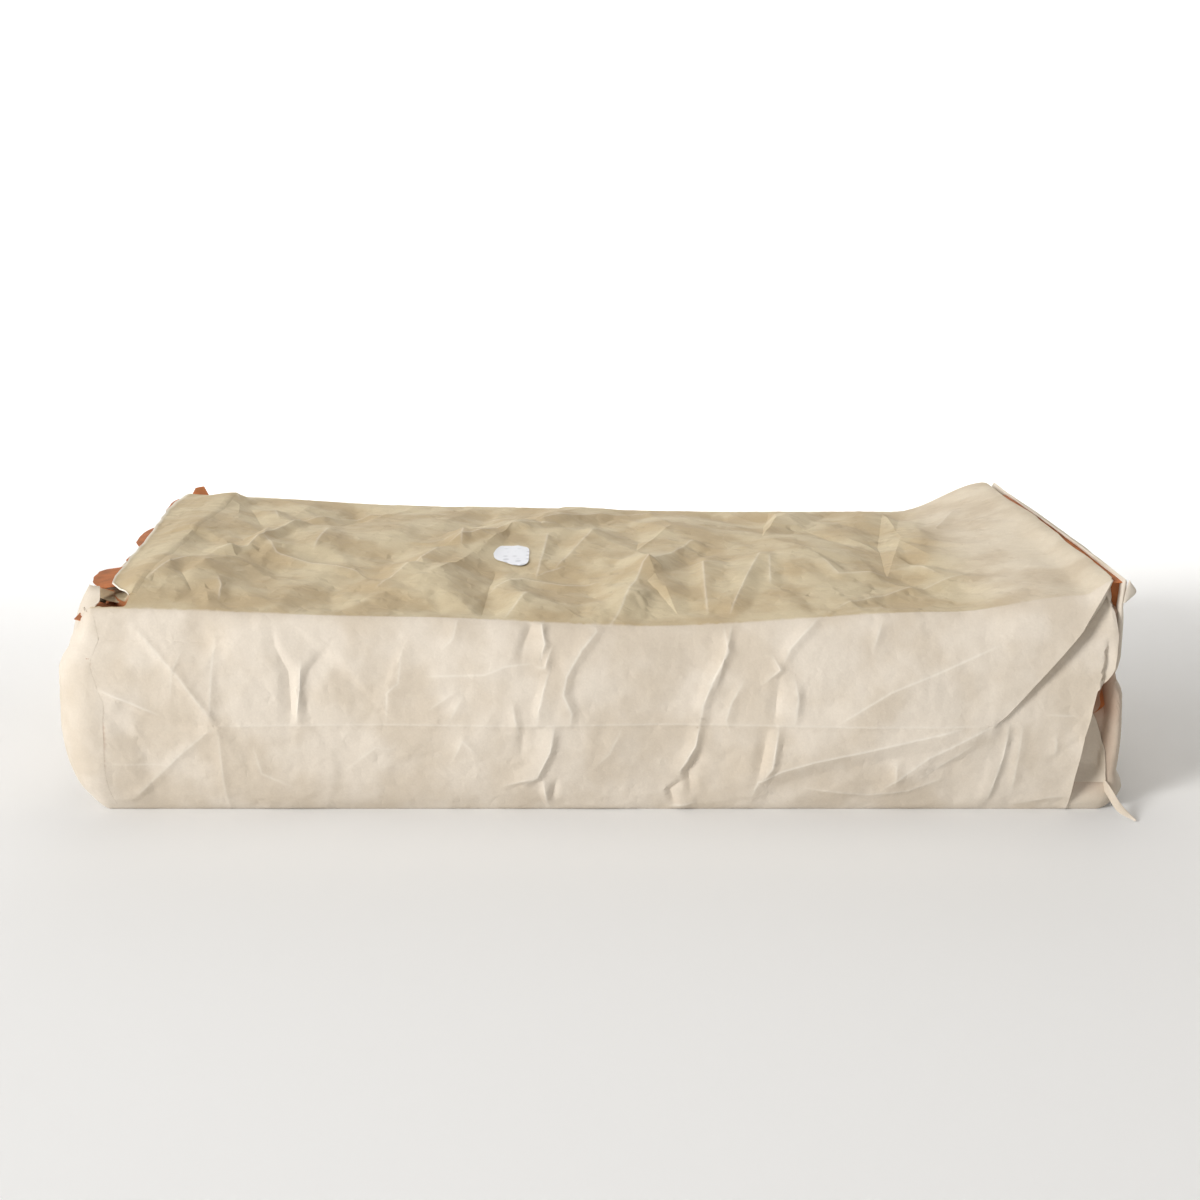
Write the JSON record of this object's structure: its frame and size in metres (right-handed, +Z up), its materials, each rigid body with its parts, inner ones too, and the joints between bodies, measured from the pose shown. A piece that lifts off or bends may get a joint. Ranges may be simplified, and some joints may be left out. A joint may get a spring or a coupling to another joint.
{
  "type": "filled paper sack of casting plaster",
  "caption": "Filled, side-gusseted kraft paper sack lying flat on one wide face, with a folded block bottom at one end and a folded-over mouth at the other; it holds casting plaster.",
  "frame": {"origin": "middle of the whole object's footprint, on the floor that the wide lower face lies on", "axes": "+X along the sack from its folded block bottom to its folded mouth, -Y towards the gusset side with the long centre crease that the picture shows, +Z up"},
  "size_m": [0.668, 0.3686, 0.149],
  "materials": {
    "kraft_paper": "matt unbleached kraft paper, crumpled",
    "sticker_paper": "smooth white label paper"
  },
  "bodies": {
    "root": {"paper_sack": "kraft_paper", "sticker": "sticker_paper"}
  },
  "joints": []
}
